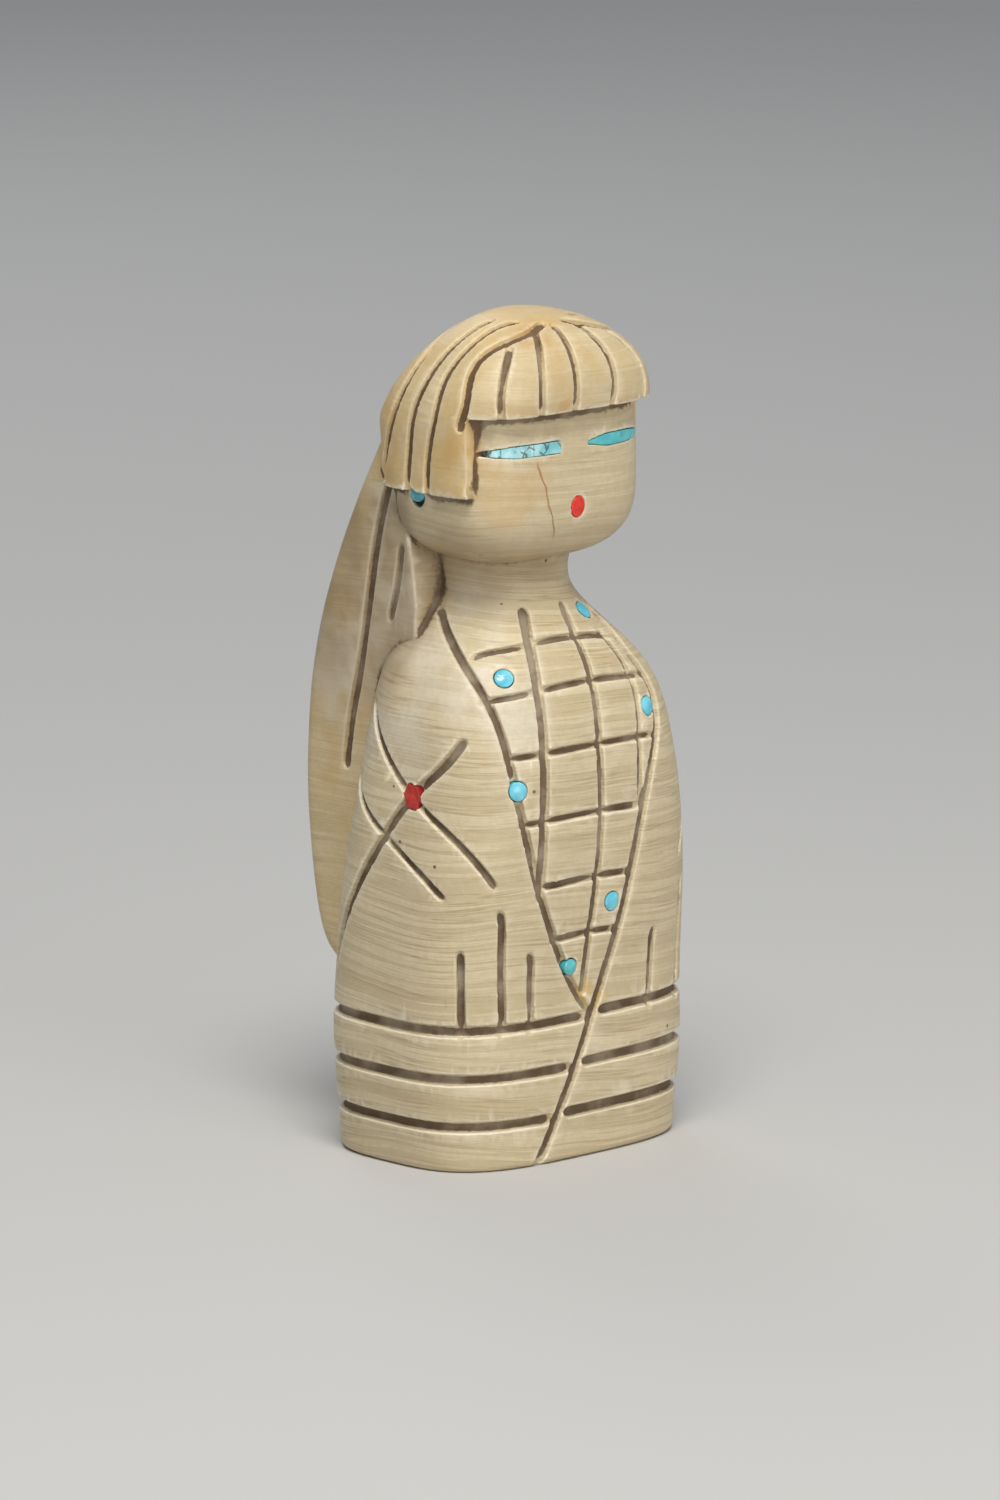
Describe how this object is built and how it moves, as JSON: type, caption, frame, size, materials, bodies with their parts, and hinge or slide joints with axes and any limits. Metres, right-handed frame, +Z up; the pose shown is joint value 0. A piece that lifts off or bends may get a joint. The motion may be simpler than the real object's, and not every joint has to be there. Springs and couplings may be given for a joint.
{
  "type": "carved stone figurine",
  "caption": "Upright maiden carved from one block of banded stone, with turquoise and coral set flush into it, standing on a flat base.",
  "frame": {"origin": "middle of the flat base, on the surface it stands on", "axes": "+Z up through the head, -Y the way the face looks, +X the figure's left"},
  "size_m": [0.0354, 0.033, 0.085],
  "materials": {
    "banded_stone": "satin, hand polished",
    "turquoise": "polished",
    "coral": "polished"
  },
  "bodies": {
    "root": {"carved_figure": "banded_stone", "right_eye_slip_outer": "turquoise", "right_eye_slip_middle": "turquoise", "right_eye_slip_inner": "turquoise", "left_eye_slip": "turquoise", "coral_mouth": "coral", "right_ear_drop": "turquoise", "left_ear_drop": "turquoise", "chest_dot_right_shoulder": "turquoise", "chest_dot_left_shoulder": "turquoise", "chest_dot_left_breast": "turquoise", "chest_dot_right_side": "turquoise", "chest_dot_left_waist": "turquoise", "chest_dot_lapel_tip": "turquoise", "right_sleeve_chip": "coral", "left_sleeve_chip": "coral"}
  },
  "joints": []
}
